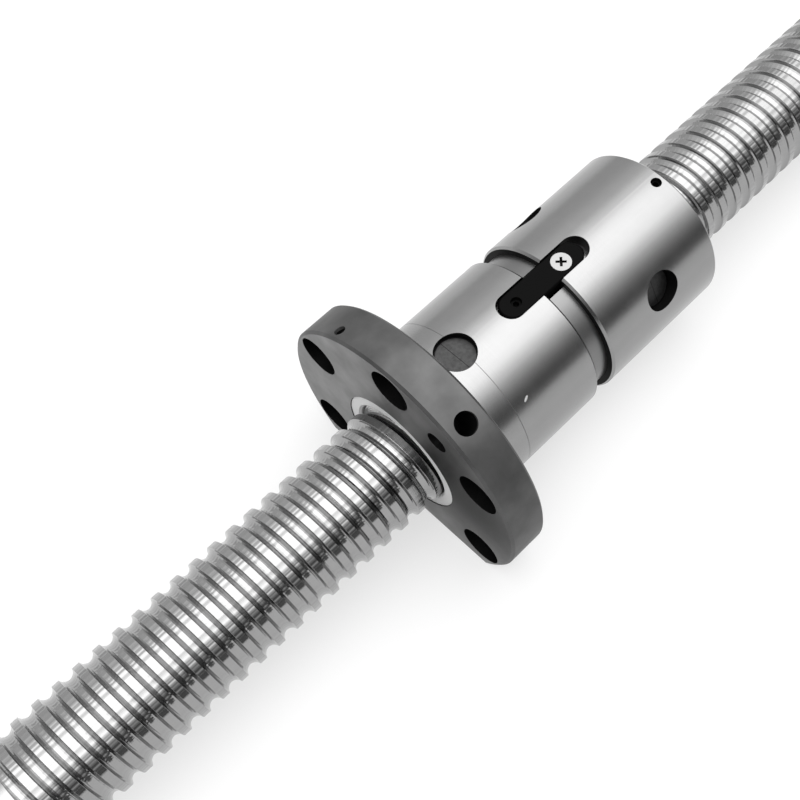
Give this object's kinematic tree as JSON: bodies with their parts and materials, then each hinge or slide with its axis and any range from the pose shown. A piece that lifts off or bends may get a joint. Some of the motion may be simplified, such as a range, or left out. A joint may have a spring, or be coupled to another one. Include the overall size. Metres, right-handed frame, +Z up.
{
  "type": "ball screw nut",
  "caption": "Flanged double ball screw nut with a split spacer and key plate, on its threaded steel shaft.",
  "frame": {"origin": "on the screw's axis, in the flange's seating face", "axes": "+X along the screw from the flange to the plain rear nut, +Z up, with the flange's flat at the bottom"},
  "size_m": [0.279, 0.066, 0.054],
  "materials": {
    "ground_steel": "ground, bright",
    "nut_steel": "ground, satin",
    "spacer_steel": "ground, satin",
    "return_steel": "sintered, matt",
    "ball_steel": "polished",
    "bright_screw": "zinc, bright",
    "black_oxide": "black oxide, satin",
    "wiper_plastic": "smooth moulded"
  },
  "bodies": {
    "shaft": {"screw_shaft": "ground_steel"},
    "wipers": {"front_wiper": "wiper_plastic", "rear_wiper": "wiper_plastic"},
    "nut": {"flange_nut": "nut_steel", "rear_nut": "nut_steel", "spacer_half_left": "spacer_steel", "spacer_half_right": "spacer_steel", "lock_key": "black_oxide", "key_screw": "bright_screw", "key_front_screw": "black_oxide", "front_wiper_screw": "black_oxide", "rear_wiper_screw": "black_oxide", "ball_return_front_1": "return_steel", "ball_return_front_2": "return_steel", "ball_return_front_3": "return_steel", "ball_return_rear_1": "return_steel", "ball_return_rear_2": "return_steel", "ball_return_rear_3": "return_steel", "ball_train_front_1": "ball_steel", "ball_train_front_2": "ball_steel", "ball_train_front_3": "ball_steel", "ball_train_rear_1": "ball_steel", "ball_train_rear_2": "ball_steel", "ball_train_rear_3": "ball_steel"}
  },
  "joints": [
    {"name": "nut_travel", "type": "slide", "parent": "shaft", "child": "wipers", "axis": [1, 0, 0], "range_m": [-0.09, 0.07]},
    {"name": "nut_turn", "type": "hinge", "parent": "wipers", "child": "nut", "pos_m": [0, 0, 0], "axis": [1, 0, 0], "range_deg": [-6480, 5040]}
  ],
  "couplings": [
    {"joint": "nut_travel", "follows": "nut_turn", "m_per_rad": 0.00079577}
  ]
}
